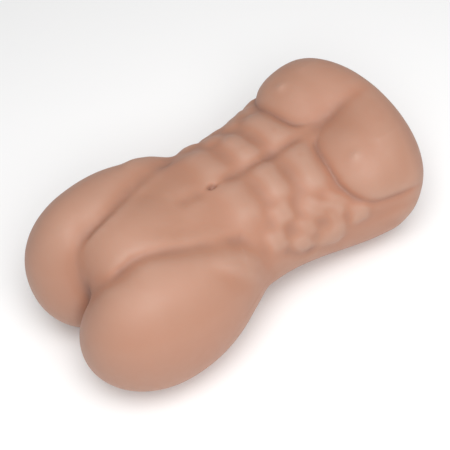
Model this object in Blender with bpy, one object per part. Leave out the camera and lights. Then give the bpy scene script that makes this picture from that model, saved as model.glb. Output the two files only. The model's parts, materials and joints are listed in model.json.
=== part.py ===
"""Headless muscular torso mannequin with two thigh stumps, lying on its back.

A thick soft skin is cast around a foam core that is carried by a light steel frame.
Lengths of the body form are given in millimetres in the body's own frame: X to the body's left,
Y along the spine towards the chest end, Z from the back to the belly. place() turns that frame so that
the seat and the upper back both rest on the ground plane, and gives metres.
"""
import bmesh
import bpy
import numpy as np

MM = 0.001
PITCH_DEG = 6.0            # chest end down, so that seat and upper back touch together
SEAT_TRIM = 3.0            # depth of the flats that the soft body presses on the ground
FIT_GAP = 0.6              # play between the foam core and the skin around it
PART_GAP = 0.3             # play between neighbouring frame pieces
CLEAR = 0.8                # play between the frame and the foam

SKIN_CELL = 8.2            # spacing of the points on the outer form
SKIN_KEEP = 0.33           # share of the outer form's triangles that is kept
CAVITY_CELL = 17.0         # spacing of the points on the cavity wall

# torso outline along the spine: station, half width, front, middle and back height
STATION = (-250, -200, -150, -110, -70, -30, 10, 50, 90, 130, 175, 215, 262)
HALF_WIDTH = (60, 80, 104, 110, 112, 112, 107, 105, 109, 117, 127, 133, 132)
FRONT = (110, 122, 131, 131, 130, 129, 127, 127, 127, 129, 138, 156, 167)
MIDDLE = (50, 50, 50, 54, 58, 60, 62, 62, 63, 66, 70, 74, 76)
BACK = (-36, -36, -36, -26, -12, -3, 0, -3, -9, -15, -18, -17, -10)
CHEST_END = 262            # where the chest is cut off and closed
CHEST_BOW = 0.0018         # how much the chest end falls back towards the sides
HIP_END = -170
HOLLOW_HIP_END = -92
END_ROUND = (38, 60)       # rounding of the chest end and of the hip end
CROWN = 7.0                # how much the belly and chest are domed above the plain outline
CROWN_DEPTH = (35, 10)     # the dome grows from this far below the top to this far above it
CROWN_FADE = (190, 255)    # it gets flatter from here to here
UPPER_POWER = (2.5, 2.05)  # squareness of the section's upper half, at the waist and at the chest
LOWER_POWER = 2.6
SKIN_WALL = 27             # thickness of the skin over the core
MIRROR_ROUND = 6.0         # rounds the mirrored forms where they meet on the centre line

# rounded masses: centre, radii, turn about Z, tilt about Y; then how softly each one blends in
THIGH = ((70, -134, 54), (71, 98, 80), -3, 0)
SEAT = ((58, -134, 16), (74, 94, 69), -7, 0)
HIP = ((80, -84, 52), (55, 78, 70), 8, 0)
CHEST = ((62, 190, 96), (66, 66, 50), 12, -13)
GROIN_COVER = ((0, -128, 92), (46, 58, 42), 0, 0)
CORE_THIGH = ((68, -118, 50), (42, 84, 46), -3, 0)
CORE_BLEND = 24
THIGH_BLEND = 20
SEAT_BLEND = 30
HIP_BLEND = 26
CHEST_BLEND = (12, 40)     # at the fold and at the shoulder
SHOULDER = (165, 232)      # where the chest turns into the shoulder
COVER_BLEND = 24
THIGH_CLEFT = (3.0, 22)    # half gap between the thighs, and its rounding
SEAT_CLEFT = (4.0, 16)

# Relief is drawn on the wrapped skin: girth is the turn about the body's middle times GIRTH_RADIUS,
# 0 on the centre line of the belly, and the second number is Y.
GIRTH_RADIUS = 110
GIRTH_HEIGHT = 62
GIRTH_END = (178, 205)     # the relief of the front fades out here, round the side
MIDDLE_RISE = (60, 95)     # heights between which the lines of the middle appear
BACK_FALL = (10, 50)       # heights between which the relief of the back fades out
BREAST = (120, 215)        # where the section gets rounder towards the chest
# soft blocks: centre, half size, turn in degrees, height
ROWS = (
    ((50, 109), (46, 19.5), -8, 7.5),
    ((43, 61), (39, 18.5), -4, 8.5),
    ((46, 11), (42, 22.5), -2, 6.5),
)
HIP_BONE = ((124, -32), (22, 20), 24, 5.0)
LOWER_BELLY = ((0, -62), (60, 62), 0, 4.0)
BACK_PADS = (((66, 168), (34, 42), -14, 6.0), ((30, 20), (24, 60), -14, 4.0))
CHEST_PAD = (72, 190)      # centre of each breast muscle, then its half size, height and edge softness
CHEST_SIZE = (66, 62)
CHEST_RISE = 8.0
CHEST_EDGE = 0.06
CHEST_FADE = (185, 250)    # where the muscle runs out into the shoulder
ROW_POWERS = (3.2, 2.2)
# soft valleys: path, width, depth, share of the length over which each end fades out
GROIN_LINE = (((122, -2), (103, -22), (97, -38), (90, -53), (83, -68), (76, -85), (69, -100),
               (61, -115), (54, -130), (51, -146), (54, -160), (63, -175), (72, -192)), 12, 4.0, 0.2)
BELLY_LINE = (((0, 6), (0, 138)), 9, 2.5, 0.15)
LOWER_LINE = (((0, -12), (0, -64)), 10, 2.2, 0.35)
BREAST_LINE = (((0, 135), (0, 212)), 12, 2.0, 0.4)
SPINE_LINE = (((0, -52), (0, 225)), 15, 6.0, 0.2)
NAVEL = (-6, 4.0, 6.0, 7.0)  # place along Y, half width, half length, depth
NIPPLE = (74, 158, 5.0, 2.6)  # place, radius, height

# inner frame, body millimetres
FRAME_Z = 64
SPINE_Y = (-46, 168)
SPINE_RADIUS = 9
SPINE_BORE = 7.5
BAR_RADIUS = 6
SHOULDER_Y = 180
SHOULDER_REACH = 74
HIP_Y = -58
HIP_REACH = 62
THIGH_ROD_X = 56
THIGH_ROD_END = -170
THIGH_ROD_RADIUS = 5
TEE_SIZE = (34, 36, 30)
TEE_BEHIND = 10            # how far a clamp block reaches past its cross bar
TEE_SOCKET = 11            # distance from the cross bar to the end of the spine tube's socket
SCREW_RADIUS = 2.5
SCREW_SINK = 0.5           # how deep a set screw sits below the face of its clamp block
CAP_RADIUS = 9
CAP_LENGTH = 18
CAP_END = 4
THIGH_SPLIT_Y = -76        # where the thigh cores meet the torso core
PLUG_RADIUS = 18
PLUG_Z = 74
PLUG_START = 237

for old in list(bpy.data.objects):
    bpy.data.objects.remove(old, do_unlink=True)


def material(name, colour, roughness, metallic=0.0):
    made = bpy.data.materials.new(name)
    made.use_nodes = True
    shader = made.node_tree.nodes["Principled BSDF"]
    shader.inputs["Base Color"].default_value = (*colour, 1.0)
    shader.inputs["Roughness"].default_value = roughness
    shader.inputs["Metallic"].default_value = metallic
    return made


SKIN = material("skin", (0.60, 0.34, 0.25), 0.55)
FOAM = material("foam", (0.80, 0.77, 0.68), 0.95)
STEEL = material("steel", (0.55, 0.56, 0.58), 0.35, 1.0)
ALLOY = material("alloy", (0.66, 0.67, 0.69), 0.45, 1.0)
CAP = material("cap", (0.04, 0.04, 0.04), 0.7)


# ---------------------------------------------------------------- body form

def blend_in(a, b, k):
    """Smooth union of two fields."""
    h = np.clip(0.5 + 0.5 * (b - a) / k, 0.0, 1.0)
    return b * (1 - h) + a * h - k * h * (1 - h)


def blend_cut(a, b, k):
    """Smooth intersection of two fields."""
    return -blend_in(-a, -b, k)


def ramp(value, low, high):
    t = np.clip((value - low) / (high - low), 0.0, 1.0)
    return t * t * (3 - 2 * t)


def along(y, values):
    """Smooth curve through values given at the torso stations."""
    s = np.asarray(STATION, float)
    v = np.asarray(values, float)
    slope = np.gradient(v, s)
    inside = np.clip(y, s[0], s[-1])
    i = np.clip(np.searchsorted(s, inside, side="right") - 1, 0, len(s) - 2)
    h = s[i + 1] - s[i]
    t = (inside - s[i]) / h
    t2 = t * t
    t3 = t2 * t
    ends = (2 * t3 - 3 * t2 + 1) * v[i] + (3 * t2 - 2 * t3) * v[i + 1]
    return ends + h * ((t3 - 2 * t2 + t) * slope[i] + (t3 - t2) * slope[i + 1])


def egg(x, y, z, centre, radii, turn=0.0, tilt=0.0):
    """Field of an ellipsoid, turned about Z and then tilted about Y."""
    dx = x - centre[0]
    dy = y - centre[1]
    dz = z - centre[2]
    c, s = np.cos(np.radians(turn)), np.sin(np.radians(turn))
    dx, dy = c * dx + s * dy, c * dy - s * dx
    c, s = np.cos(np.radians(tilt)), np.sin(np.radians(tilt))
    dx, dz = c * dx + s * dz, c * dz - s * dx
    a, b, c = radii
    level = np.sqrt((dx / a)**2 + (dy / b)**2 + (dz / c)**2)
    slope = np.sqrt((dx / a**2)**2 + (dy / b**2)**2 + (dz / c**2)**2) + 1e-9
    return level * (level - 1) / slope


def pad(x, y, centre, size, turn, height, powers=(2.4, 2.4)):
    """Soft plateau; higher powers have steeper sides."""
    c, s = np.cos(np.radians(turn)), np.sin(np.radians(turn))
    dx = x - centre[0]
    dy = y - centre[1]
    u = (c * dx + s * dy) / size[0]
    v = (c * dy - s * dx) / size[1]
    return height * np.exp(-(np.abs(u)**powers[0] + np.abs(v)**powers[1]))


def groove(x, y, path, width, depth, fade):
    """Soft valley along a path, seen from the front, that fades out at both ends."""
    path = np.asarray(path, float)
    lengths = np.hypot(*(path[1:] - path[:-1]).T)
    total = lengths.sum()
    nearest = np.full(np.shape(x), 1e9)
    share = np.zeros(np.shape(x))
    run = 0.0
    for start, end, length in zip(path[:-1], path[1:], lengths):
        step = (end - start) / length
        t = np.clip((x - start[0]) * step[0] + (y - start[1]) * step[1], 0.0, length)
        gap = np.hypot(x - start[0] - t * step[0], y - start[1] - t * step[1])
        closer = gap < nearest
        nearest = np.where(closer, gap, nearest)
        share = np.where(closer, (run + t) / total, share)
        run += length
    ends = ramp(share, 0.0, fade) * (1 - ramp(share, 1 - fade, 1.0))
    return depth * ends * np.exp(-(nearest / width)**2)


def loft(x, y, z, inset, chest_end, hip_end):
    """Field of the plain torso, moved in by inset: superellipses, rounder at the chest."""
    middle = along(y, MIDDLE)
    half = along(y, HALF_WIDTH) - inset
    rise = along(y, FRONT) - middle - inset
    fall = middle - along(y, BACK) - inset
    depth = np.where(z > middle, rise, fall)
    upper = UPPER_POWER[0] + (UPPER_POWER[1] - UPPER_POWER[0]) * ramp(y, *BREAST)
    power = np.where(z > middle, upper, LOWER_POWER)
    ring = (np.abs(x / half)**power + np.abs((z - middle) / depth)**power)**(1 / power)
    body = (ring - 1) * np.minimum(half, depth)
    body = blend_cut(body, y - chest_end + CHEST_BOW * x * x, END_ROUND[0])
    return blend_cut(body, hip_end - y, END_ROUND[1])


def front_relief(x, side, y, z):
    """How far the muscles of the front stand above the plain form."""
    girth = GIRTH_RADIUS * np.arctan2(side, z - GIRTH_HEIGHT)
    rise = pad(girth, y, *HIP_BONE) + pad(girth, y, *LOWER_BELLY)
    for row in ROWS:
        rise = rise + pad(girth, y, *row, ROW_POWERS)
    across = np.abs(girth - CHEST_PAD[0]) / CHEST_SIZE[0]
    down = np.maximum(CHEST_PAD[1] - y, 0) / CHEST_SIZE[1]
    inward = np.maximum(1 - (across**3 + down**3)**(1 / 3), 0)
    dome = np.sqrt(inward + CHEST_EDGE) - np.sqrt(CHEST_EDGE)
    rise = rise + CHEST_RISE * dome * (1 - ramp(y, *CHEST_FADE))
    rise = rise - groove(girth, y, *GROIN_LINE)
    middle = groove(side, y, *BELLY_LINE) + groove(side, y, *LOWER_LINE) + groove(side, y, *BREAST_LINE)
    place_y, half_width, half_length, depth = NAVEL
    middle = middle + depth * np.exp(-((x / half_width)**2 + ((y - place_y) / half_length)**2))
    place_x, place_y, radius, height = NIPPLE
    middle = middle - height * np.exp(-((side - place_x)**2 + (y - place_y)**2) / radius**2)
    rise = rise - ramp(z, *MIDDLE_RISE) * middle
    return rise * (1 - ramp(girth, *GIRTH_END))


def back_relief(side, y, z):
    """How far the muscles of the back stand above the plain form."""
    rise = -groove(side, y, *SPINE_LINE)
    for muscle in BACK_PADS:
        rise = rise + pad(side, y, *muscle)
    return rise * (1 - ramp(z, *BACK_FALL))


def body_field(x, y, z):
    """Field of the whole outer form, negative inside."""
    side = np.sqrt(x * x + MIRROR_ROUND)
    top = along(y, FRONT)
    low = z - CROWN * ramp(z, top - CROWN_DEPTH[0], top + CROWN_DEPTH[1]) * (1 - 0.6 * ramp(y, *CROWN_FADE))
    body = loft(x, y, low, 0, CHEST_END, HIP_END)
    thigh = blend_cut(egg(side, y, low, *THIGH), THIGH_CLEFT[0] - side, THIGH_CLEFT[1])
    body = blend_in(body, thigh, THIGH_BLEND)
    seat = blend_cut(egg(side, y, low, *SEAT), SEAT_CLEFT[0] - side, SEAT_CLEFT[1])
    body = blend_in(body, seat, SEAT_BLEND)
    body = blend_in(body, egg(side, y, low, *HIP), HIP_BLEND)
    softness = CHEST_BLEND[0] + (CHEST_BLEND[1] - CHEST_BLEND[0]) * ramp(y, *SHOULDER)
    body = blend_in(body, egg(side, y, low, *CHEST), softness)
    body = blend_in(body, egg(x, y, low, *GROIN_COVER), COVER_BLEND)
    return body - front_relief(x, side, y, z) - back_relief(side, y, z)


def cavity_field(x, y, z):
    """Field of the hollow that holds the core: the plain torso and two thigh lobes, moved in by the wall."""
    side = np.sqrt(x * x + MIRROR_ROUND)
    hollow = loft(x, y, z, SKIN_WALL, CHEST_END - SKIN_WALL, HOLLOW_HIP_END)
    return blend_in(hollow, egg(side, y, z, *CORE_THIGH), CORE_BLEND)


# ---------------------------------------------------------------- meshing

def surface_net(field, low, high, cell):
    """Closed triangle mesh of field == 0: one point per crossed grid cell, moved onto the surface."""
    size = [int(np.ceil((high[i] - low[i]) / cell)) + 1 for i in range(3)]
    lines = [low[i] + cell * np.arange(size[i]) for i in range(3)]
    value = field(*np.meshgrid(*lines, indexing="ij"))
    cells = tuple(n - 1 for n in size)
    total = np.zeros(cells + (3,))
    count = np.zeros(cells)
    for axis in range(3):
        for first in (0, 1):
            for second in (0, 1):
                start = [0, 0, 0]
                start[(axis + 1) % 3] = first
                start[(axis + 2) % 3] = second
                end = list(start)
                end[axis] = 1
                a = value[tuple(slice(s, s + n) for s, n in zip(start, cells))]
                b = value[tuple(slice(s, s + n) for s, n in zip(end, cells))]
                crossed = (a < 0) != (b < 0)
                share = np.where(crossed, a / np.where(crossed, a - b, 1.0), 0.0)
                for i in range(3):
                    offset = share if i == axis else start[i]
                    total[..., i] += np.where(crossed, offset, 0.0)
                count += crossed
    used = count > 0
    index = np.full(cells, -1)
    index[used] = np.arange(used.sum())
    points = np.asarray(low) + cell * (np.argwhere(used) + total[used] / count[used][:, None])
    quads = []
    for axis in range(3):
        one, two = (axis + 1) % 3, (axis + 2) % 3
        a = value
        b = np.roll(value, -1, axis=axis)
        crossed = (a < 0) != (b < 0)
        keep = np.zeros(crossed.shape, bool)
        span = [slice(0, size[0] - 1), slice(0, size[1] - 1), slice(0, size[2] - 1)]
        span[one] = slice(1, size[one] - 1)
        span[two] = slice(1, size[two] - 1)
        keep[tuple(span)] = True
        spots = np.argwhere(crossed & keep)
        corners = []
        for back_one, back_two in ((1, 1), (0, 1), (0, 0), (1, 0)):
            near = spots.copy()
            near[:, one] -= back_one
            near[:, two] -= back_two
            corners.append(index[tuple(near.T)])
        ring = np.stack(corners, axis=1)
        inward = a[tuple(spots.T)] >= 0
        ring[inward] = ring[inward][:, ::-1]
        quads.append(ring)
    quads = np.concatenate(quads)
    triangles = np.concatenate([quads[:, [0, 1, 2]], quads[:, [0, 2, 3]]])
    for _ in range(4):
        points = points - surface_step(field, points, 0.3 * cell)
    return points, triangles


def surface_step(field, points, limit):
    """Newton step from each point back to the surface."""
    h = 0.5
    x, y, z = points.T
    here = field(x, y, z)
    slope = np.stack([field(x + h, y, z) - field(x - h, y, z),
                      field(x, y + h, z) - field(x, y - h, z),
                      field(x, y, z + h) - field(x, y, z - h)], axis=1) / (2 * h)
    move = slope * (here / np.maximum((slope**2).sum(axis=1), 1e-6))[:, None]
    length = np.linalg.norm(move, axis=1)[:, None]
    return move * np.minimum(1.0, limit / np.maximum(length, 1e-9))


def move_in(points, triangles, distance):
    """The same mesh with every point moved in along its normal."""
    a, b, c = (points[triangles[:, i]] for i in range(3))
    flat = np.cross(b - a, c - a)
    normal = np.zeros_like(points)
    for i in range(3):
        np.add.at(normal, triangles[:, i], flat)
    normal /= np.linalg.norm(normal, axis=1)[:, None]
    return points - distance * normal


def rod(start, end, radius, sides=24):
    """Closed cylinder between two points."""
    start = np.asarray(start, float)
    end = np.asarray(end, float)
    axis = (end - start) / np.linalg.norm(end - start)
    helper = np.array([0.0, 0.0, 1.0]) if abs(axis[2]) < 0.9 else np.array([1.0, 0.0, 0.0])
    across = np.cross(helper, axis)
    across /= np.linalg.norm(across)
    up = np.cross(axis, across)
    turn = 2 * np.pi * np.arange(sides) / sides
    ring = radius * (np.outer(np.cos(turn), across) + np.outer(np.sin(turn), up))
    points = np.concatenate([start + ring, end + ring])
    faces = [(i, (i + 1) % sides, sides + (i + 1) % sides, sides + i) for i in range(sides)]
    faces.append(tuple(range(sides))[::-1])
    faces.append(tuple(range(sides, 2 * sides)))
    return points, faces


def block(low, high):
    """Closed box between two corners."""
    x0, y0, z0 = low
    x1, y1, z1 = high
    points = [(x0, y0, z0), (x1, y0, z0), (x1, y1, z0), (x0, y1, z0),
              (x0, y0, z1), (x1, y0, z1), (x1, y1, z1), (x0, y1, z1)]
    faces = [(0, 3, 2, 1), (4, 5, 6, 7), (0, 1, 5, 4), (1, 2, 6, 5), (2, 3, 7, 6), (3, 0, 4, 7)]
    return np.asarray(points, float), faces


def pitched(points):
    """Body millimetres turned by the pitch, before the body is set down on the ground."""
    c, s = np.cos(np.radians(PITCH_DEG)), np.sin(np.radians(PITCH_DEG))
    x, y, z = np.asarray(points, float).T
    return np.stack([x, c * y + s * z, c * z - s * y], axis=1)


def place(points):
    """Body millimetres to metres in the finished frame."""
    return (pitched(points) - ORIGIN) * MM


def show(name, shape, look, smooth=True):
    """A named object from points and faces in body millimetres."""
    points, faces = shape
    mesh = bpy.data.meshes.new(name)
    mesh.from_pydata([tuple(p) for p in place(points)], [], [tuple(int(i) for i in f) for f in faces])
    form = bmesh.new()
    form.from_mesh(mesh)
    bmesh.ops.recalc_face_normals(form, faces=form.faces)
    form.to_mesh(mesh)
    form.free()
    for polygon in mesh.polygons:
        polygon.use_smooth = smooth
    made = bpy.data.objects.new(name, mesh)
    bpy.context.scene.collection.objects.link(made)
    made.data.materials.append(look)
    return made


def tool(name, shape):
    """A cutting form that is not part of the object."""
    made = show(name, shape, CAP, False)
    made.hide_render = True
    made.display_type = "WIRE"
    return made


def combine(target, other, operation):
    step = target.modifiers.new(other.name, "BOOLEAN")
    step.operation = operation
    step.solver = "EXACT"
    step.object = other


# ---------------------------------------------------------------- soft parts

LOW = (-160, -275, -60)
HIGH = (160, 290, 190)
outer = surface_net(body_field, LOW, HIGH, SKIN_CELL)
hollow = surface_net(cavity_field, LOW, HIGH, CAVITY_CELL)
core = (move_in(*hollow, FIT_GAP), hollow[1])

turned = pitched(outer[0])
ORIGIN = np.array([0.0, 0.5 * (turned[:, 1].min() + turned[:, 1].max()), turned[:, 2].min() + SEAT_TRIM])


def outer_form(name):
    """The outer form, thinned to fewer triangles."""
    made = show(name, outer, SKIN)
    thin = made.modifiers.new("thin", "DECIMATE")
    thin.ratio = SKIN_KEEP
    return made


ground_points = np.array([(x, y, z) for z in (-0.1, 0.0) for x in (-0.4, 0.4) for y in (-0.5, 0.5)])
ground_mesh = bpy.data.meshes.new("ground_cut")
ground_mesh.from_pydata([tuple(p) for p in ground_points], [],
                        [(0, 1, 3, 2), (4, 6, 7, 5), (0, 4, 5, 1), (1, 5, 7, 3), (3, 7, 6, 2), (2, 6, 4, 0)])
ground_cut = bpy.data.objects.new("ground_cut", ground_mesh)
bpy.context.scene.collection.objects.link(ground_cut)
ground_cut.hide_render = True
ground_cut.display_type = "WIRE"

cavity_cut = tool("cavity_cut", hollow)
plug_hole = tool("plug_hole", rod((0, 205, PLUG_Z), (0, 300, PLUG_Z), PLUG_RADIUS, 32))

skin = outer_form("skin")
combine(skin, ground_cut, "DIFFERENCE")
combine(skin, cavity_cut, "DIFFERENCE")
combine(skin, plug_hole, "DIFFERENCE")

flush_form = outer_form("flush_form")
flush_form.hide_render = True
flush_form.display_type = "WIRE"
plug_rod = rod((0, PLUG_START, PLUG_Z), (0, 300, PLUG_Z), PLUG_RADIUS - PART_GAP, 32)
chest_plug = show("chest_plug", plug_rod, SKIN)
combine(chest_plug, flush_form, "INTERSECT")

# ---------------------------------------------------------------- steel frame

spine_tube = show("spine_tube", rod((0, SPINE_Y[0], FRAME_Z), (0, SPINE_Y[1], FRAME_Z), SPINE_RADIUS), STEEL)
bore_rod = rod((0, SPINE_Y[0] - 5, FRAME_Z), (0, SPINE_Y[1] + 5, FRAME_Z), SPINE_BORE)
spine_bore = tool("spine_bore", bore_rod)
combine(spine_tube, spine_bore, "DIFFERENCE")

shoulder_bar = show("shoulder_bar", rod((-SHOULDER_REACH, SHOULDER_Y, FRAME_Z),
                                        (SHOULDER_REACH, SHOULDER_Y, FRAME_Z), BAR_RADIUS), STEEL)

hip_bar = rod((-HIP_REACH, HIP_Y, FRAME_Z), (HIP_REACH, HIP_Y, FRAME_Z), BAR_RADIUS)
hip_fork = show("hip_fork", hip_bar, STEEL)
for sign in (-1, 1):
    arm = tool("thigh_rod", rod((sign * THIGH_ROD_X, HIP_Y, FRAME_Z),
                                (sign * THIGH_ROD_X, THIGH_ROD_END, FRAME_Z), THIGH_ROD_RADIUS))
    combine(hip_fork, arm, "UNION")


def tee(name, bar_y, toward):
    """Clamp block that joins the spine tube to a cross bar; toward is the spine's direction along Y."""
    half_x, length, half_z = TEE_SIZE[0] / 2, TEE_SIZE[1], TEE_SIZE[2] / 2
    near = bar_y - toward * TEE_BEHIND
    far = near + toward * length
    made = show(name, block((-half_x, min(near, far), FRAME_Z - half_z),
                            (half_x, max(near, far), FRAME_Z + half_z)), ALLOY, False)
    bar_hole = tool("bar_hole", rod((-30, bar_y, FRAME_Z), (30, bar_y, FRAME_Z), BAR_RADIUS + PART_GAP))
    socket_start = bar_y + toward * TEE_SOCKET
    socket_end = bar_y + toward * length
    spine_hole = tool("spine_hole", rod((0, socket_start, FRAME_Z), (0, socket_end, FRAME_Z),
                                        SPINE_RADIUS + PART_GAP))
    screw_hole = tool("screw_hole", rod((0, bar_y, FRAME_Z), (0, bar_y, FRAME_Z + length),
                                        SCREW_RADIUS + PART_GAP, 16))
    for cutter in (bar_hole, spine_hole, screw_hole):
        combine(made, cutter, "DIFFERENCE")
    return made


shoulder_tee = tee("shoulder_tee", SHOULDER_Y, -1)
hip_tee = tee("hip_tee", HIP_Y, 1)

for name, bar_y in (("shoulder_screw", SHOULDER_Y), ("hip_screw", HIP_Y)):
    foot = FRAME_Z + BAR_RADIUS + PART_GAP
    head = FRAME_Z + TEE_SIZE[2] / 2 - SCREW_SINK
    show(name, rod((0, bar_y, foot), (0, bar_y, head), SCREW_RADIUS, 16), STEEL)


def end_cap(name, tip, inward, radius):
    """Soft cap over a bar end, so that the bar can't cut the foam."""
    tip = np.asarray(tip, float)
    inward = np.asarray(inward, float)
    made = show(name, rod(tip - CAP_END * inward, tip + (CAP_LENGTH - CAP_END) * inward, CAP_RADIUS), CAP)
    bore = tool("cap_bore", rod(tip - PART_GAP * inward, tip + CAP_LENGTH * inward, radius + PART_GAP))
    combine(made, bore, "DIFFERENCE")
    return made


for sign, side_name in ((1, "left"), (-1, "right")):
    bar_tip = (sign * SHOULDER_REACH, SHOULDER_Y, FRAME_Z)
    rod_tip = (sign * THIGH_ROD_X, THIGH_ROD_END, FRAME_Z)
    end_cap("shoulder_cap_" + side_name, bar_tip, (-sign, 0, 0), BAR_RADIUS)
    end_cap("thigh_cap_" + side_name, rod_tip, (0, 1, 0), THIGH_ROD_RADIUS)

# ---------------------------------------------------------------- foam core

tee_x, tee_y, tee_z = (n + 2 * CLEAR for n in TEE_SIZE)
spine_space = rod((0, SPINE_Y[0], FRAME_Z), (0, SPINE_Y[1], FRAME_Z), SPINE_RADIUS + CLEAR)
frame_space = tool("frame_space", spine_space)
bar_ends = ((SHOULDER_REACH, SHOULDER_Y), (HIP_REACH + CLEAR, HIP_Y))
spaces = [rod((-reach, y, FRAME_Z), (reach, y, FRAME_Z), BAR_RADIUS + CLEAR) for reach, y in bar_ends]
for bar_y, toward in ((SHOULDER_Y, -1), (HIP_Y, 1)):
    near = bar_y - toward * (TEE_BEHIND + CLEAR)
    far = near + toward * tee_y
    spaces.append(block((-tee_x / 2, min(near, far), FRAME_Z - tee_z / 2),
                        (tee_x / 2, max(near, far), FRAME_Z + tee_z / 2)))
for sign in (-1, 1):
    rod_x = sign * THIGH_ROD_X
    spaces.append(rod((rod_x, HIP_Y, FRAME_Z), (rod_x, THIGH_ROD_END, FRAME_Z), THIGH_ROD_RADIUS + CLEAR))
    spaces.append(rod((rod_x, THIGH_ROD_END + CAP_LENGTH - CAP_END + CLEAR, FRAME_Z),
                      (rod_x, THIGH_ROD_END - CAP_END - CLEAR, FRAME_Z), CAP_RADIUS + CLEAR))
    inner = sign * (SHOULDER_REACH + CAP_END - CAP_LENGTH - CLEAR)
    outer_end = sign * (SHOULDER_REACH + CAP_END + CLEAR)
    spaces.append(rod((inner, SHOULDER_Y, FRAME_Z), (outer_end, SHOULDER_Y, FRAME_Z), CAP_RADIUS + CLEAR))
for shape in spaces:
    combine(frame_space, tool("space", shape), "UNION")

HALF_GAP = PART_GAP / 2
regions = {
    "core_front": block((-200, THIGH_SPLIT_Y + HALF_GAP, FRAME_Z + HALF_GAP), (200, 300, 200)),
    "core_back": block((-200, THIGH_SPLIT_Y + HALF_GAP, -100), (200, 300, FRAME_Z - HALF_GAP)),
    "thigh_core_left": block((HALF_GAP, -300, -100), (200, THIGH_SPLIT_Y - HALF_GAP, 200)),
    "thigh_core_right": block((-200, -300, -100), (-HALF_GAP, THIGH_SPLIT_Y - HALF_GAP, 200)),
}
for name, region in regions.items():
    piece = show(name, core, FOAM)
    combine(piece, tool(name + "_region", region), "INTERSECT")
    combine(piece, frame_space, "DIFFERENCE")
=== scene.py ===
"""Looks of the torso mannequin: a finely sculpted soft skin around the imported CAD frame.

The skin is sculpted as a smooth field in millimetres, in the body's own frame: X to the body's left,
Y along the spine towards the chest end, Z from the back to the belly. place() pitches it so that it
lies on its seat and upper back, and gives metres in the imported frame.
"""
import json
import math

import bpy
import numpy as np
from mathutils import Matrix, Vector


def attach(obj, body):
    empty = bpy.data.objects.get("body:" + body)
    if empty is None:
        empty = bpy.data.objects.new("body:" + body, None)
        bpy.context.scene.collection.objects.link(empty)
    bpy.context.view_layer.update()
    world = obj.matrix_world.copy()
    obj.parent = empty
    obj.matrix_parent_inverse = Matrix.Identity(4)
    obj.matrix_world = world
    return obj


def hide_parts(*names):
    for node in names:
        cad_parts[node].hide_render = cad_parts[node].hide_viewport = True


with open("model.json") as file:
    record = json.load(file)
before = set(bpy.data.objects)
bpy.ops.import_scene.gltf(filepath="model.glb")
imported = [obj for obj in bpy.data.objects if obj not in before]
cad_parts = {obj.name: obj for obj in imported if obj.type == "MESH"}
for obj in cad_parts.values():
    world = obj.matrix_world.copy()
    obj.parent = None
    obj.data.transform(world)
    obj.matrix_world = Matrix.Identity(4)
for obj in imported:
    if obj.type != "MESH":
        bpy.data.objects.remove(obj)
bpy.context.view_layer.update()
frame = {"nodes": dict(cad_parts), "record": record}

MM = 0.001
PITCH_DEG = 6.0            # chest end down
SEAT_TRIM = 3.0            # how far the soft body is pressed flat on the ground
PRESS_ROUND = 4.0          # rounding of the edge of those flats
NET_CELL = 4.0             # spacing of the first net; one refinement halves it
NET_LOW = (-160, -275, -70)
NET_HIGH = (160, 295, 195)
SETTLE_ROUNDS = 3          # how often the net's points are evened out on the surface
VALLEY_PASSES = 60         # how widely the form is smoothed to tell valleys from crests, for the painted shade and painted highlight of the skin
VALLEY_SHARE = 0.2         # change of the valley measure for each millimetre, from 0.5 on plain skin

# torso outline along the spine: station, half width, front, middle and back height
STATION = (-250, -200, -150, -110, -70, -30, 10, 50, 90, 130, 175, 215, 262)
HALF_WIDTH = (60, 80, 104, 110, 112, 112, 107, 105, 109, 117, 127, 133, 132)
FRONT = (110, 122, 131, 131, 130, 129, 127, 127, 127, 129, 138, 156, 167)
MIDDLE = (50, 50, 50, 54, 58, 60, 62, 62, 63, 66, 70, 74, 76)
BACK = (-36, -36, -36, -26, -12, -3, 0, -3, -9, -15, -18, -17, -10)
CHEST_END = 262            # where the chest is cut off and closed
CHEST_BOW = 0.0018         # how much the chest end falls back towards the sides
HIP_END = -170
END_ROUND = (38, 60)       # rounding of the chest end and of the hip end
CROWN = 7.0                # how much the belly and chest are domed above the plain outline
CROWN_DEPTH = (35, 10)     # the dome grows from this far below the top to this far above it
CROWN_FADE = (190, 255)    # it gets flatter from here to here
CROWN_LOSS = 0.6           # share of the dome that is lost there
UPPER_POWER = (2.5, 2.05)  # squareness of the section's upper half, at the waist and at the chest
LOWER_POWER = 2.6
MIRROR_ROUND = 6.0         # rounds the mirrored forms where they meet on the centre line

# rounded masses: centre, radii, turn about Z, tilt about Y; then how softly each one blends in
THIGH = ((70, -134, 54), (71, 98, 80), -3, 0)
SEAT = ((58, -134, 16), (74, 94, 69), -7, 0)
HIP = ((80, -84, 52), (55, 78, 70), 8, 0)
CHEST = ((62, 190, 96), (66, 66, 50), 12, -13)
GROIN_COVER = ((0, -128, 92), (46, 58, 42), 0, 0)
THIGH_BLEND = 20
SEAT_BLEND = 30
HIP_BLEND = 26
CHEST_BLEND = (12, 40)     # at the fold and at the shoulder
SHOULDER = (165, 232)      # where the chest turns into the shoulder
COVER_BLEND = 24
THIGH_CLEFT = (3.0, 22)    # half gap between the thighs, and its rounding
SEAT_CLEFT = (4.0, 16)

# Relief is drawn on the wrapped skin: girth is the turn about the body's middle times GIRTH_RADIUS,
# 0 on the centre line of the belly, and the second number is Y.
GIRTH_RADIUS = 110
GIRTH_HEIGHT = 62
GIRTH_END = (178, 205)     # the relief of the front fades out here, round the side
MIDDLE_RISE = (60, 95)     # heights between which the lines of the middle appear
BACK_FALL = (10, 50)       # heights between which the relief of the back fades out
BREAST = (120, 215)        # where the section gets rounder towards the chest
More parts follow.
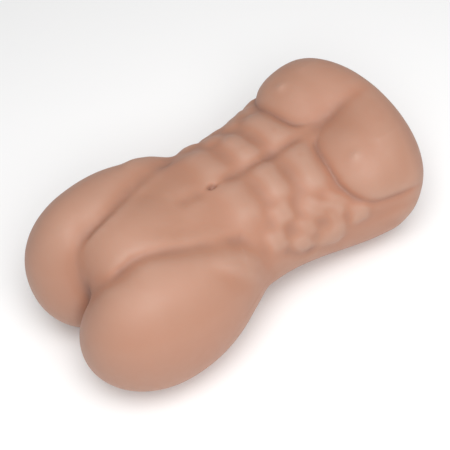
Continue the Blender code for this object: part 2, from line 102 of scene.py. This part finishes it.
# soft blocks: centre, half size, turn in degrees, height; higher powers give steeper sides
ROWS = (
    ((50, 109), (46, 19.5), -8, 8.3),
    ((43, 61), (39, 18.5), -4, 9.0),
    ((46, 11), (42, 22.5), -2, 7.0),
)
BRICKS = (
    ((98, 47), (16, 15), 0, 3.2),
    ((112, 88), (20, 13), 43, 3.2),
    ((131, 69), (16, 13.5), 0, 2.7),
    ((126, 25), (15, 14), 0, 2.8),
    ((152, 55), (20, 12.5), 45, 3.0),
    ((142, 138), (13, 13), 0, 2.8),
    ((119, 117), (17, 11.5), 45, 2.6),
    ((138, 108), (15, 10.5), 0, 2.4),
    ((160, 98), (15, 17), -20, 2.8),
    ((118, -38), (36, 18), 42, 4.4),
)
ROW_POWERS = (3.4, 2.3)
BRICK_POWERS = (2.9, 2.9)
LOWER_BELLY = ((0, -62), (60, 62), 0, 4.0)
BACK_PADS = (((66, 168), (34, 42), -14, 6.0), ((30, 20), (24, 60), -14, 4.0))
CHEST_PAD = (72, 190)      # centre of each breast muscle, then its half size and height
CHEST_SIZE = (66, 62)
CHEST_RISE = 9.6
CHEST_EDGE = (0.06, 0.03)  # softness of the lower edge and of the roll above it
CHEST_FADE = (185, 250)    # where the muscle runs out into the shoulder
CHEST_SLANT = (100, 60, 0.12)  # its lower edge climbs inwards: from this girth, over this far, at this rate
CHEST_FOLD = (0.07, 4.0, 0.02)  # width, depth and rounding of the V-shaped fold under it
FOLD_INNER = (8, 35)       # girths between which the fold appears
FOLD_OUTER = (190, 235)    # places along Y between which it runs out
ARMPIT = ((150, 188), (15, 36), 0, -4.5)  # hollow behind the breast muscle
# soft valleys: path, width, depth, share of the length over which each end fades out
GROIN_LINE = (((122, -2), (103, -22), (97, -38), (90, -53), (83, -68), (76, -85), (69, -100),
               (61, -115), (54, -130), (51, -146), (54, -160), (63, -175), (72, -192)), 12, 4.0, 0.2)
RIB_EDGE = (((136, 32), (150, 38), (160, 48), (167, 58), (172, 70), (177, 82)), 9, 2.0, 0.25)
MIDDLE_LINES = (
    (((0, 6), (0, 138)), 9, 2.0, 0.15),
    (((0, 66), (0, 100)), 10, 1.5, 0.4),
    (((0, -12), (0, -64)), 10, 2.2, 0.35),
    (((0, 135), (0, 212)), 12, 2.0, 0.4),
)
SPINE_LINE = (((0, -52), (0, 225)), 15, 6.0, 0.2)
NAVEL = (-6, 3.4, 5.5, 6.5)  # place along Y, half width, half length, depth
NIPPLE = (74, 158)
NIPPLE_TIP = (4.6, 1.8)    # radius and height
NIPPLE_RING = (10.5, 0.6)

PLUG_RADIUS = 18           # the plug that closes the chest end
PLUG_Z = 74
PLUG_START = 200           # any place along Y between the middle of the chest and its end


# ---------------------------------------------------------------- body form

def blend_in(a, b, k):
    """Smooth union of two fields."""
    h = np.clip(0.5 + 0.5 * (b - a) / k, 0.0, 1.0)
    return b * (1 - h) + a * h - k * h * (1 - h)


def blend_cut(a, b, k):
    """Smooth intersection of two fields."""
    return -blend_in(-a, -b, k)


def ramp(value, low, high):
    t = np.clip((value - low) / (high - low), 0.0, 1.0)
    return t * t * (3 - 2 * t)


def along(y, values):
    """Smooth curve through values given at the torso stations."""
    s = np.asarray(STATION, float)
    v = np.asarray(values, float)
    slope = np.gradient(v, s)
    inside = np.clip(y, s[0], s[-1])
    i = np.clip(np.searchsorted(s, inside, side="right") - 1, 0, len(s) - 2)
    h = s[i + 1] - s[i]
    t = (inside - s[i]) / h
    t2 = t * t
    t3 = t2 * t
    ends = (2 * t3 - 3 * t2 + 1) * v[i] + (3 * t2 - 2 * t3) * v[i + 1]
    return ends + h * ((t3 - 2 * t2 + t) * slope[i] + (t3 - t2) * slope[i + 1])


def egg(x, y, z, centre, radii, turn=0.0, tilt=0.0):
    """Field of an ellipsoid, turned about Z and then tilted about Y."""
    dx = x - centre[0]
    dy = y - centre[1]
    dz = z - centre[2]
    c, s = math.cos(math.radians(turn)), math.sin(math.radians(turn))
    dx, dy = c * dx + s * dy, c * dy - s * dx
    c, s = math.cos(math.radians(tilt)), math.sin(math.radians(tilt))
    dx, dz = c * dx + s * dz, c * dz - s * dx
    a, b, c = radii
    level = np.sqrt((dx / a)**2 + (dy / b)**2 + (dz / c)**2)
    slope = np.sqrt((dx / a**2)**2 + (dy / b**2)**2 + (dz / c**2)**2) + 1e-9
    return level * (level - 1) / slope


def pad(x, y, centre, size, turn, height, powers=(2.4, 2.4)):
    """Soft plateau; higher powers have steeper sides."""
    c, s = math.cos(math.radians(turn)), math.sin(math.radians(turn))
    dx = x - centre[0]
    dy = y - centre[1]
    u = (c * dx + s * dy) / size[0]
    v = (c * dy - s * dx) / size[1]
    return height * np.exp(-(np.abs(u)**powers[0] + np.abs(v)**powers[1]))


def groove(x, y, path, width, depth, fade):
    """Soft valley along a path, seen from the front, that fades out at both ends."""
    path = np.asarray(path, float)
    lengths = np.hypot(*(path[1:] - path[:-1]).T)
    total = lengths.sum()
    nearest = np.full(np.shape(x), 1e9)
    share = np.zeros(np.shape(x))
    run = 0.0
    for start, end, length in zip(path[:-1], path[1:], lengths):
        step = (end - start) / length
        t = np.clip((x - start[0]) * step[0] + (y - start[1]) * step[1], 0.0, length)
        gap = np.hypot(x - start[0] - t * step[0], y - start[1] - t * step[1])
        closer = gap < nearest
        nearest = np.where(closer, gap, nearest)
        share = np.where(closer, (run + t) / total, share)
        run += length
    ends = ramp(share, 0.0, fade) * (1 - ramp(share, 1 - fade, 1.0))
    return depth * ends * np.exp(-(nearest / width)**2)


def loft(x, y, z):
    """Field of the plain torso: superellipses, rounder at the chest."""
    middle = along(y, MIDDLE)
    half = along(y, HALF_WIDTH)
    depth = np.where(z > middle, along(y, FRONT) - middle, middle - along(y, BACK))
    upper = UPPER_POWER[0] + (UPPER_POWER[1] - UPPER_POWER[0]) * ramp(y, *BREAST)
    power = np.where(z > middle, upper, LOWER_POWER)
    ring = (np.abs(x / half)**power + np.abs((z - middle) / depth)**power)**(1 / power)
    body = (ring - 1) * np.minimum(half, depth)
    body = blend_cut(body, y - CHEST_END + CHEST_BOW * x * x, END_ROUND[0])
    return blend_cut(body, HIP_END - y, END_ROUND[1])


def breast(girth, y):
    """Square-root dome of each breast muscle, and the fold along its lower edge."""
    start, reach, rate = CHEST_SLANT
    y = y - rate * np.clip(start - girth, 0, reach)
    across = np.abs(girth - CHEST_PAD[0]) / CHEST_SIZE[0]
    down = np.maximum(CHEST_PAD[1] - y, 0) / CHEST_SIZE[1]
    inward = 1 - (across**3 + down**3)**(1 / 3)
    edge, roll = CHEST_EDGE
    dome = np.sqrt(0.5 * (inward + np.sqrt(inward**2 + edge**2)) + roll) - math.sqrt(roll)
    width, depth, rounding = CHEST_FOLD
    fold = depth * np.exp(-np.sqrt(inward**2 + rounding**2) / width)
    fold = fold * ramp(girth, *FOLD_INNER) * (1 - ramp(y, *FOLD_OUTER))
    return CHEST_RISE * dome * (1 - ramp(y, *CHEST_FADE)) - fold


def front_relief(x, side, y, z):
    """How far the muscles of the front stand above the plain form."""
    girth = GIRTH_RADIUS * np.arctan2(side, z - GIRTH_HEIGHT)
    rise = breast(girth, y) + pad(girth, y, *LOWER_BELLY) + pad(girth, y, *ARMPIT)
    for row in ROWS:
        rise = rise + pad(girth, y, *row, ROW_POWERS)
    for brick in BRICKS:
        rise = rise + pad(girth, y, *brick, BRICK_POWERS)
    for valley in (GROIN_LINE, RIB_EDGE):
        rise = rise - groove(girth, y, *valley)
    middle = 0.0
    for valley in MIDDLE_LINES:
        middle = middle + groove(side, y, *valley)
    place_y, half_width, half_length, depth = NAVEL
    middle = middle + depth * np.exp(-((x / half_width)**2 + ((y - place_y) / half_length)**2))
    reach = np.hypot(side - NIPPLE[0], y - NIPPLE[1])
    middle = middle - NIPPLE_TIP[1] * np.exp(-(reach / NIPPLE_TIP[0])**2)
    middle = middle - NIPPLE_RING[1] * np.exp(-(reach / NIPPLE_RING[0])**4)
    rise = rise - ramp(z, *MIDDLE_RISE) * middle
    return rise * (1 - ramp(girth, *GIRTH_END))


def back_relief(side, y, z):
    """How far the muscles of the back stand above the plain form."""
    rise = -groove(side, y, *SPINE_LINE)
    for muscle in BACK_PADS:
        rise = rise + pad(side, y, *muscle)
    return rise * (1 - ramp(z, *BACK_FALL))


def body_field(x, y, z):
    """Field of the whole outer form, negative inside."""
    side = np.sqrt(x * x + MIRROR_ROUND)
    top = along(y, FRONT)
    dome = ramp(z, top - CROWN_DEPTH[0], top + CROWN_DEPTH[1]) * (1 - CROWN_LOSS * ramp(y, *CROWN_FADE))
    low = z - CROWN * dome
    body = loft(x, y, low)
    thigh = blend_cut(egg(side, y, low, *THIGH), THIGH_CLEFT[0] - side, THIGH_CLEFT[1])
    body = blend_in(body, thigh, THIGH_BLEND)
    seat = blend_cut(egg(side, y, low, *SEAT), SEAT_CLEFT[0] - side, SEAT_CLEFT[1])
    body = blend_in(body, seat, SEAT_BLEND)
    body = blend_in(body, egg(side, y, low, *HIP), HIP_BLEND)
    softness = CHEST_BLEND[0] + (CHEST_BLEND[1] - CHEST_BLEND[0]) * ramp(y, *SHOULDER)
    body = blend_in(body, egg(side, y, low, *CHEST), softness)
    body = blend_in(body, egg(x, y, low, *GROIN_COVER), COVER_BLEND)
    return body - front_relief(x, side, y, z) - back_relief(side, y, z)


# ---------------------------------------------------------------- meshing

def surface_net(field, low, high, cell):
    """Closed quad mesh of field == 0: one point per crossed grid cell."""
    size = [int(np.ceil((high[i] - low[i]) / cell)) + 1 for i in range(3)]
    lines = [low[i] + cell * np.arange(size[i]) for i in range(3)]
    value = field(*np.meshgrid(*lines, indexing="ij"))
    cells = tuple(n - 1 for n in size)
    total = np.zeros(cells + (3,))
    count = np.zeros(cells)
    for axis in range(3):
        for first in (0, 1):
            for second in (0, 1):
                start = [0, 0, 0]
                start[(axis + 1) % 3] = first
                start[(axis + 2) % 3] = second
                end = list(start)
                end[axis] = 1
                a = value[tuple(slice(s, s + n) for s, n in zip(start, cells))]
                b = value[tuple(slice(s, s + n) for s, n in zip(end, cells))]
                crossed = (a < 0) != (b < 0)
                share = np.where(crossed, a / np.where(crossed, a - b, 1.0), 0.0)
                for i in range(3):
                    offset = share if i == axis else start[i]
                    total[..., i] += np.where(crossed, offset, 0.0)
                count += crossed
    used = count > 0
    index = np.full(cells, -1)
    index[used] = np.arange(used.sum())
    points = np.asarray(low) + cell * (np.argwhere(used) + total[used] / count[used][:, None])
    quads = []
    for axis in range(3):
        one, two = (axis + 1) % 3, (axis + 2) % 3
        crossed = (value < 0) != (np.roll(value, -1, axis=axis) < 0)
        keep = np.zeros(crossed.shape, bool)
        span = [slice(0, n - 1) for n in size]
        span[one] = slice(1, size[one] - 1)
        span[two] = slice(1, size[two] - 1)
        keep[tuple(span)] = True
        spots = np.argwhere(crossed & keep)
        corners = []
        for back_one, back_two in ((1, 1), (0, 1), (0, 0), (1, 0)):
            near = spots.copy()
            near[:, one] -= back_one
            near[:, two] -= back_two
            corners.append(index[tuple(near.T)])
        ring = np.stack(corners, axis=1)
        inward = value[tuple(spots.T)] >= 0
        ring[inward] = ring[inward][:, ::-1]
        quads.append(ring)
    return points, np.concatenate(quads)


def edges_of(quads):
    """Every edge once, and the edge on each side of each quad."""
    pairs = np.sort(np.stack([quads, np.roll(quads, -1, axis=1)], axis=2).reshape(-1, 2), axis=1)
    edges, which = np.unique(pairs, axis=0, return_inverse=True)
    return edges, which.reshape(-1, 4)


def refine(points, quads):
    """Every quad split into four."""
    edges, sides = edges_of(quads)
    middles = points[edges].mean(axis=1)
    centres = points[quads].mean(axis=1)
    first_middle = len(points)
    first_centre = first_middle + len(middles)
    centre = first_centre + np.arange(len(quads))
    parts = []
    for i in range(4):
        corner = [quads[:, i], first_middle + sides[:, i], centre, first_middle + sides[:, i - 1]]
        parts.append(np.stack(corner, axis=1))
    return np.concatenate([points, middles, centres]), np.concatenate(parts)


def slope_of(field, points):
    """The field's value and gradient at points."""
    h = 0.4
    x, y, z = points.T
    gradient = np.stack([field(x + h, y, z) - field(x - h, y, z),
                         field(x, y + h, z) - field(x, y - h, z),
                         field(x, y, z + h) - field(x, y, z - h)], axis=1) / (2 * h)
    return field(x, y, z), gradient


def settle(field, points, limit):
    """Points moved onto the surface, and the surface's normals there."""
    value, gradient = slope_of(field, points)
    square = np.maximum((gradient**2).sum(axis=1), 1e-6)
    move = gradient * (value / square)[:, None]
    length = np.linalg.norm(move, axis=1)[:, None]
    points = points - move * np.minimum(1.0, limit / np.maximum(length, 1e-9))
    return points, gradient / np.sqrt(square)[:, None]


def neighbour_mean(values, edges, count):
    """Mean of each point's neighbours."""
    total = np.zeros_like(values)
    for i in range(values.shape[1]):
        total[:, i] = (np.bincount(edges[:, 0], values[edges[:, 1], i], len(values))
                       + np.bincount(edges[:, 1], values[edges[:, 0], i], len(values)))
    return total / count[:, None]


def sculpt():
    """The skin's points, quads and valley measure, in body millimetres."""
    points, quads = surface_net(body_field, NET_LOW, NET_HIGH, NET_CELL)
    for level in range(2):
        if level:
            points, quads = refine(points, quads)
        edges, _ = edges_of(quads)
        count = np.bincount(edges.ravel(), minlength=len(points)).astype(float)
        for _ in range(SETTLE_ROUNDS):
            points, normals = settle(body_field, points, 0.5 * NET_CELL)
            pull = neighbour_mean(points, edges, count) - points
            pull -= normals * (pull * normals).sum(axis=1)[:, None]
            points = points + 0.5 * pull
        points, normals = settle(body_field, points, 0.5 * NET_CELL)
    smooth = points
    for _ in range(VALLEY_PASSES):
        smooth = 0.3 * smooth + 0.7 * neighbour_mean(smooth, edges, count)
    return points, quads, ((smooth - points) * normals).sum(axis=1)


def pitched(points):
    c, s = math.cos(math.radians(PITCH_DEG)), math.sin(math.radians(PITCH_DEG))
    x, y, z = points.T
    return np.stack([x, c * y + s * z, c * z - s * y], axis=1)


def pressed(points):
    """Points under the ground plane pressed up onto it, with a rounded edge."""
    z = points[:, 2]
    points[:, 2] = -blend_in(-z, 0.0 * z, PRESS_ROUND)
    return points


skin_points, skin_quads, skin_valley = sculpt()
turned = pitched(skin_points)
ORIGIN = np.array([0.0, 0.5 * (turned[:, 1].min() + turned[:, 1].max()), turned[:, 2].min() + SEAT_TRIM])


def place(points):
    """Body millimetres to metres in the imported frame."""
    return pressed(pitched(points) - ORIGIN) * MM


def new_piece(name, points, faces, look):
    mesh = bpy.data.meshes.new(name)
    mesh.from_pydata(points.tolist(), [], faces.tolist())
    mesh.polygons.foreach_set("use_smooth", np.ones(len(mesh.polygons), bool))
    mesh.materials.append(look)
    made = bpy.data.objects.new(name, mesh)
    bpy.context.scene.collection.objects.link(made)
    return made


# ---------------------------------------------------------------- materials

def new_material(name):
    made = bpy.data.materials.new(name)
    made.use_nodes = True
    nodes = made.node_tree.nodes
    return made, nodes, made.node_tree.links, nodes["Principled BSDF"]


def noise(nodes, links, source, scale, detail=3.0, roughness=0.5):
    made = nodes.new("ShaderNodeTexNoise")
    made.inputs["Scale"].default_value = scale
    made.inputs["Detail"].default_value = detail
    made.inputs["Roughness"].default_value = roughness
    links.new(source, made.inputs["Vector"])
    return made.outputs["Fac"]


def fitted(nodes, links, source, low, high, to_low, to_high):
    made = nodes.new("ShaderNodeMapRange")
    made.inputs["From Min"].default_value = low
    made.inputs["From Max"].default_value = high
    made.inputs["To Min"].default_value = to_low
    made.inputs["To Max"].default_value = to_high
    links.new(source, made.inputs["Value"])
    return made.outputs["Result"]


def tinted(nodes, links, share, under, over):
    """Mix of two colours; each is a colour or another node's output."""
    made = nodes.new("ShaderNodeMix")
    made.data_type = "RGBA"
    links.new(share, made.inputs["Factor"])
    for socket, colour in ((made.inputs["A"], under), (made.inputs["B"], over)):
        if isinstance(colour, tuple):
            socket.default_value = (*colour, 1.0)
        else:
            links.new(colour, socket)
    return made.outputs["Result"]


def bumped(nodes, links, shader, height, distance, strength=1.0):
    made = nodes.new("ShaderNodeBump")
    made.inputs["Strength"].default_value = strength
    made.inputs["Distance"].default_value = distance
    links.new(height, made.inputs["Height"])
    links.new(made.outputs["Normal"], shader.inputs["Normal"])


SKIN_TONES = ((0.414, 0.207, 0.134), (0.430, 0.220, 0.146))
BLUSH_TONE = (0.426, 0.198, 0.125)
# painted highlight: paler tone laid on the crests of the form
CREST_HIGHLIGHT_TONE = (0.456, 0.254, 0.180)
# painted shade: darker tone laid in the valleys and folds of the form
FOLD_SHADE_TONE = (0.315, 0.156, 0.108)
# painted shade: dark ring laid where the chest plug meets the skin, standing for the shade in the seam's gap
SEAM_SHADE_TONE = (0.280, 0.110, 0.070)


def skin_material():
    """Matte powdered elastomer, faintly mottled, with painted shade (a darker, warmer tone) in the valleys
    and a painted highlight (a paler tone) on the crests.
    """
    made, nodes, links, shader = new_material("soft_skin")
    place_in = nodes.new("ShaderNodeTexCoord").outputs["Object"]
    valley = nodes.new("ShaderNodeAttribute")
    valley.attribute_name = "valley"
    # painted shade: valleys and folds of the form are darkened by the fold tone
    fold = fitted(nodes, links, valley.outputs["Fac"], 0.52, 1.00, 0.0, 1.0)
    # painted highlight: crests of the form are lightened by the crest tone
    crest_highlight = fitted(nodes, links, valley.outputs["Fac"], 0.50, 0.25, 0.0, 1.0)
    mottle = fitted(nodes, links, noise(nodes, links, place_in, 16.0, 3.0, 0.6), 0.35, 0.65, 0.0, 1.0)
    blush = fitted(nodes, links, noise(nodes, links, place_in, 5.0, 2.0, 0.5), 0.40, 0.65, 0.0, 1.0)
    base = tinted(nodes, links, mottle, *SKIN_TONES)
    base = tinted(nodes, links, blush, base, BLUSH_TONE)
    base = tinted(nodes, links, crest_highlight, base, CREST_HIGHLIGHT_TONE)
    base = tinted(nodes, links, fold, base, FOLD_SHADE_TONE)
    # painted shade: a dark ring along the plug's edge stands for the shadow in the seam
    seam = nodes.new("ShaderNodeAttribute")
    seam.attribute_name = "seam"
    from_edge = nodes.new("ShaderNodeMath")
    from_edge.operation = "ABSOLUTE"
    links.new(seam.outputs["Fac"], from_edge.inputs[0])
    seam_shade = fitted(nodes, links, from_edge.outputs["Value"], 0.2, 0.5, 1.0, 0.0)
    base = tinted(nodes, links, seam_shade, base, SEAM_SHADE_TONE)
    links.new(base, shader.inputs["Base Color"])
    links.new(fitted(nodes, links, noise(nodes, links, place_in, 90.0, 4.0), 0.3, 0.7, 0.55, 0.63),
              shader.inputs["Roughness"])
    shader.inputs["Specular IOR Level"].default_value = 0.5
    shader.inputs["Subsurface Weight"].default_value = 0.15
    shader.inputs["Subsurface Radius"].default_value = (1.0, 0.45, 0.30)
    shader.inputs["Subsurface Scale"].default_value = 0.003
    shader.inputs["Sheen Weight"].default_value = 0.04
    shader.inputs["Sheen Roughness"].default_value = 0.4
    pores = noise(nodes, links, place_in, 700.0, 2.0)
    bumped(nodes, links, shader, pores, 0.0001, 0.5)
    return made


def foam_material():
    """Open foam: pale cells with darker pits, the pits' darkness being painted shade."""
    made, nodes, links, shader = new_material("open_foam")
    place_in = nodes.new("ShaderNodeTexCoord").outputs["Object"]
    cells = nodes.new("ShaderNodeTexVoronoi")
    cells.inputs["Scale"].default_value = 500.0
    links.new(place_in, cells.inputs["Vector"])
    # painted shade: the pits are darkened where shade falls inside the pores
    pit = fitted(nodes, links, cells.outputs["Distance"], 0.1, 0.7, 0.0, 1.0)
    links.new(tinted(nodes, links, pit, (0.55, 0.52, 0.44), (0.80, 0.77, 0.68)), shader.inputs["Base Color"])
    shader.inputs["Roughness"].default_value = 0.95
    bumped(nodes, links, shader, pit, 0.0008)
    return made


def metal_material(name, light, dark, stretch, roughness):
    """Drawn or milled metal: fine lines along the body, with dull patches."""
    made, nodes, links, shader = new_material(name)
    place_in = nodes.new("ShaderNodeTexCoord").outputs["Object"]
    scaled = nodes.new("ShaderNodeMapping")
    scaled.inputs["Scale"].default_value = stretch
    links.new(place_in, scaled.inputs["Vector"])
    lines = noise(nodes, links, scaled.outputs["Vector"], 60.0, 4.0)
    share = fitted(nodes, links, lines, 0.3, 0.7, 0.0, 1.0)
    links.new(tinted(nodes, links, share, dark, light), shader.inputs["Base Color"])
    links.new(fitted(nodes, links, lines, 0.3, 0.7, roughness - 0.08, roughness + 0.10),
              shader.inputs["Roughness"])
    shader.inputs["Metallic"].default_value = 1.0
    bumped(nodes, links, shader, lines, 0.00005)
    return made


def rubber_material():
    """Moulded black rubber with a dusty bloom."""
    made, nodes, links, shader = new_material("moulded_rubber")
    place_in = nodes.new("ShaderNodeTexCoord").outputs["Object"]
    bloom = fitted(nodes, links, noise(nodes, links, place_in, 120.0), 0.4, 0.7, 0.0, 1.0)
    links.new(tinted(nodes, links, bloom, (0.020, 0.020, 0.021), (0.045, 0.044, 0.043)),
              shader.inputs["Base Color"])
    shader.inputs["Roughness"].default_value = 0.7
    bumped(nodes, links, shader, noise(nodes, links, place_in, 900.0), 0.0001)
    return made


SKIN = skin_material()
FOAM = foam_material()
STEEL = metal_material("drawn_steel", (0.60, 0.61, 0.63), (0.42, 0.43, 0.45), (20.0, 0.6, 20.0), 0.34)
ALLOY = metal_material("milled_alloy", (0.72, 0.73, 0.75), (0.58, 0.59, 0.61), (0.8, 14.0, 14.0), 0.42)
RUBBER = rubber_material()

LOOKS = {"skin": SKIN, "foam": FOAM, "steel": STEEL, "alloy": ALLOY, "cap": RUBBER}
for entry in frame["record"]["subparts"]:
    node = frame["nodes"][entry["node"]]
    node.data.materials.clear()
    node.data.materials.append(LOOKS[entry["material_slot"]])

# ---------------------------------------------------------------- skin

skin = new_piece("soft_skin", place(skin_points), skin_quads, SKIN)
# valley measure from the form's curvature: drives the painted shade in valleys and the painted highlight on
# crests
valley_layer = skin.data.attributes.new("valley", "FLOAT", "POINT")
valley_layer.data.foreach_set("value", np.clip(0.5 + VALLEY_SHARE * skin_valley, 0.0, 1.0))
# distance from the plug's edge, which places the painted shade of the seam
from_plug_edge = np.hypot(skin_points[:, 0], skin_points[:, 2] - PLUG_Z) - PLUG_RADIUS
from_plug_edge[skin_points[:, 1] < PLUG_START] = PLUG_RADIUS
seam_layer = skin.data.attributes.new("seam", "FLOAT", "POINT")
seam_layer.data.foreach_set("value", from_plug_edge)
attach(skin, "root")
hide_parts("skin", "chest_plug")

# ---------------------------------------------------------------- floor, light and camera

FLOOR_SIZE = 12

bpy.ops.mesh.primitive_plane_add(size=FLOOR_SIZE)
floor = bpy.context.object
floor.name = "floor"
floor_look, floor_nodes, floor_links, floor_shader = new_material("pale_floor")
floor_shader.inputs["Base Color"].default_value = (0.94, 0.94, 0.94, 1.0)
floor_shader.inputs["Roughness"].default_value = 0.9
floor.data.materials.append(floor_look)


def area_light(name, aim, azimuth, elevation, distance, size, power):
    """Soft square light that looks at aim from a direction, in metres, degrees and watts."""
    a, e = math.radians(azimuth), math.radians(elevation)
    toward = Vector((math.sin(a) * math.cos(e), -math.cos(a) * math.cos(e), math.sin(e)))
    data = bpy.data.lights.new(name, "AREA")
    data.shape = "SQUARE"
    data.size = size
    data.energy = power
    made = bpy.data.objects.new(name, data)
    made.location = Vector(aim) + toward * distance
    made.rotation_mode = "QUATERNION"
    made.rotation_quaternion = (-toward).to_track_quat("-Z", "Y")
    bpy.context.scene.collection.objects.link(made)
    return made


area_light("key", aim=(0.08, 0.08, 0.12), azimuth=64, elevation=60, distance=1.7, size=1.4, power=26)
area_light("fill", aim=(0, 0, 0), azimuth=60, elevation=80, distance=2.6, size=1.6, power=20)

world = bpy.data.worlds.new("studio")
world.use_nodes = True
world.node_tree.nodes["Background"].inputs["Color"].default_value = (1.0, 1.0, 1.0, 1.0)
world.node_tree.nodes["Background"].inputs["Strength"].default_value = 0.33
bpy.context.scene.world = world
bpy.context.scene.view_settings.view_transform = "Standard"

CAMERA_AZIMUTH = 60.2
CAMERA_ELEVATION = 54.6
CAMERA_ROLL = -8.3
CAMERA_DISTANCE = 1.49
CAMERA_LENS = 93.8
CAMERA_SHIFT = (0.0204, -0.0022)

target = Vector(((pitched(np.array([[0.0, 0.0, 60.0]])) - ORIGIN) * MM)[0])
a, e = math.radians(CAMERA_AZIMUTH), math.radians(CAMERA_ELEVATION)
away = Vector((math.sin(a) * math.cos(e), -math.cos(a) * math.cos(e), math.sin(e)))
camera_data = bpy.data.cameras.new("camera")
camera_data.lens = CAMERA_LENS
camera_data.sensor_width = 36
camera_data.shift_x, camera_data.shift_y = CAMERA_SHIFT
camera = bpy.data.objects.new("camera", camera_data)
turn = (-away).to_track_quat("-Z", "Y").to_matrix() @ Matrix.Rotation(math.radians(CAMERA_ROLL), 3, "Z")
camera.matrix_world = Matrix.Translation(target + away * CAMERA_DISTANCE) @ turn.to_4x4()
bpy.context.scene.collection.objects.link(camera)
bpy.context.scene.camera = camera
